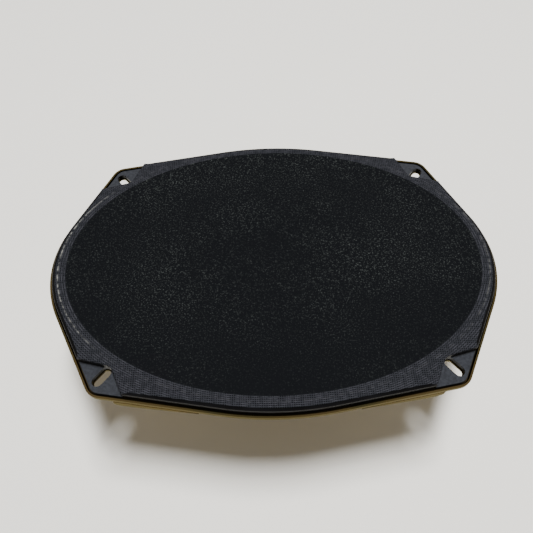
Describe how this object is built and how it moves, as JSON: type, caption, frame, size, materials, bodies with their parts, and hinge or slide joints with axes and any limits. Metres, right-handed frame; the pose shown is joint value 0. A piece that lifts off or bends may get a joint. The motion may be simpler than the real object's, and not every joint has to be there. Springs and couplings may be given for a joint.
{
  "type": "coaxial car speaker",
  "caption": "Oval two-way car loudspeaker: pressed steel basket with slotted ears, gasket ring, cloth grille, paper cone and a dome tweeter on a post.",
  "frame": {"origin": "middle of the motor's back face, which the speaker rests on", "axes": "+Z towards the grille, +X along the long axis on the terminals' side, +Y across the width"},
  "size_m": [0.235, 0.1646, 0.0837],
  "materials": {
    "zinc_yellow_steel": "pressed sheet, zinc plated, yellow passivated",
    "black_gasket": "moulded, fine matte",
    "grille_cloth": "thin woven cloth, stretched and bonded",
    "rubber_edge": "moulded rubber half roll",
    "paper_cone": "pressed paper pulp, dyed black",
    "spider_cloth": "resin dipped cotton, hot pressed",
    "coil_paper": "wound kraft tube",
    "copper_wire": "enamelled copper wire",
    "plated_steel": "turned and pressed, zinc plated",
    "ferrite": "sintered, ground faces",
    "phenolic_board": "punched laminate",
    "tinned_tab": "punched brass strip, tinned",
    "tinsel_braid": "braided tinsel wire",
    "black_plastic": "moulded, satin",
    "nickel_magnet": "nickel plated neodymium",
    "silk_dome": "doped silk",
    "capacitor_sleeve": "shrink sleeve",
    "red_lead": "flexible insulation",
    "black_lead": "flexible insulation"
  },
  "bodies": {
    "frame": {"basket": "zinc_yellow_steel", "gasket_sheet": "black_gasket", "gasket": "black_gasket", "grille_cloth": "grille_cloth", "surround": "rubber_edge", "spider": "spider_cloth", "top_plate": "plated_steel", "magnet": "ferrite", "yoke": "plated_steel", "basket_rivets": "plated_steel", "terminal_board": "phenolic_board", "terminal_rivet": "plated_steel", "positive_tab": "tinned_tab", "negative_tab": "tinned_tab", "tinsel_positive": "tinsel_braid", "tinsel_negative": "tinsel_braid", "tweeter_post": "black_plastic", "post_screw": "plated_steel", "tweeter_housing": "black_plastic", "tweeter_pot": "plated_steel", "tweeter_magnet": "nickel_magnet", "tweeter_top_plate": "plated_steel", "tweeter_edge": "silk_dome", "tweeter_bezel": "black_plastic", "capacitor": "capacitor_sleeve", "capacitor_leads": "tinned_tab", "pigtail_positive": "red_lead", "pigtail_negative": "black_lead"},
    "woofer": {"cone": "paper_cone", "coil_former": "coil_paper", "coil_winding": "copper_wire", "lead_eyelets": "copper_wire"},
    "tweeter": {"tweeter_dome": "silk_dome", "tweeter_coil": "copper_wire"}
  },
  "joints": [
    {"name": "cone_travel", "type": "slide", "parent": "frame", "child": "woofer", "axis": [0, 0, 1], "range_m": [-0.003, 0.003], "stiffness_N_per_m": 3500, "deforming": ["surround", "spider", "tinsel_positive", "tinsel_negative", "pigtail_positive", "pigtail_negative"]},
    {"name": "tweeter_travel", "type": "slide", "parent": "frame", "child": "tweeter", "axis": [0, 0, 1], "range_m": [-0.0003, 0.0003], "stiffness_N_per_m": 120, "deforming": ["tweeter_edge"]}
  ]
}
